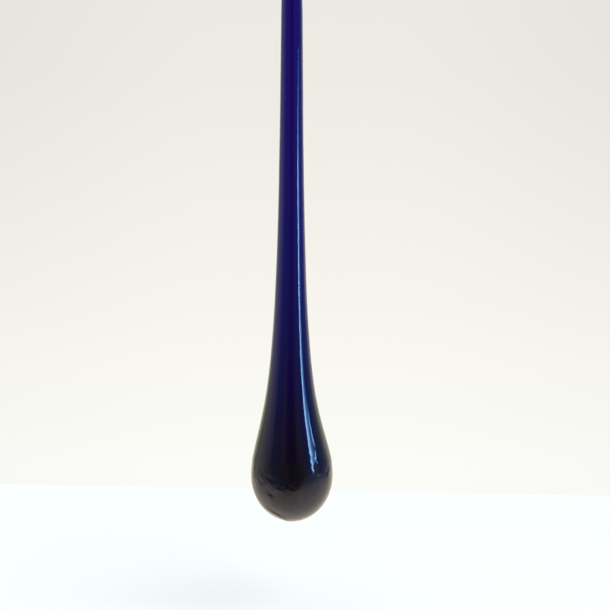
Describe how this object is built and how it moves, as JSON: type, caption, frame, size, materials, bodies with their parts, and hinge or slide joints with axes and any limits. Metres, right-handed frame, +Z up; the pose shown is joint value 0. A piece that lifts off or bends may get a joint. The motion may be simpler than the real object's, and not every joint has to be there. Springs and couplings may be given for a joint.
{
  "type": "hanging glass drop",
  "caption": "Solid drop of dark blue glass with a long drawn neck that ends in an eye, hung from a closed ring, a barrel swivel and an S-hook so that it can swing and spin.",
  "frame": {"origin": "the hang point: the inner top of the S-hook's upper bend, where the hook rests on what holds it", "axes": "+Z up along the hanging line, with the drop below on -Z; the S-hook and the glass eye lie in the XZ plane; the ring lies in the YZ plane; the view of the source picture looks along +Y with +X to the right"},
  "size_m": [0.0412, 0.0412, 0.3689],
  "materials": {
    "hook_steel": "drawn stainless wire, tumbled, lightly scratched where it bears",
    "swivel_steel": "bent stainless wire, satin",
    "swivel_nickel": "nickel-plated turned shell, swaged at both ends",
    "ring_steel": "welded stainless wire ring, satin",
    "cobalt_glass": "clear dark cobalt blue, fire-polished, a few small bubbles inside"
  },
  "bodies": {
    "hook": {"s_hook": "hook_steel"},
    "swivel_top": {"swivel_upper_eye": "swivel_steel"},
    "barrel": {"swivel_barrel": "swivel_nickel"},
    "swivel_bottom": {"swivel_lower_eye": "swivel_steel"},
    "ring": {"hanging_ring": "ring_steel"},
    "drop": {"glass_drop": "cobalt_glass"}
  },
  "joints": [
    {"name": "hanger_swing", "type": "hinge", "parent": "hook", "child": "swivel_top", "pos_m": [0, 0, -0.036], "axis": [1, 0, 0], "range_deg": [-30, 30]},
    {"name": "barrel_turn", "type": "hinge", "parent": "swivel_top", "child": "barrel", "pos_m": [0, 0, -0.043], "axis": [0, 0, 1], "continuous": true},
    {"name": "swivel_spin", "type": "hinge", "parent": "barrel", "child": "swivel_bottom", "pos_m": [0, 0, -0.051], "axis": [0, 0, 1], "continuous": true},
    {"name": "ring_swing", "type": "hinge", "parent": "swivel_bottom", "child": "ring", "pos_m": [0, 0, -0.0605], "axis": [1, 0, 0], "range_deg": [-30, 30]},
    {"name": "drop_swing", "type": "hinge", "parent": "ring", "child": "drop", "pos_m": [0, 0, -0.0736], "axis": [0, 1, 0], "range_deg": [-30, 30]}
  ]
}
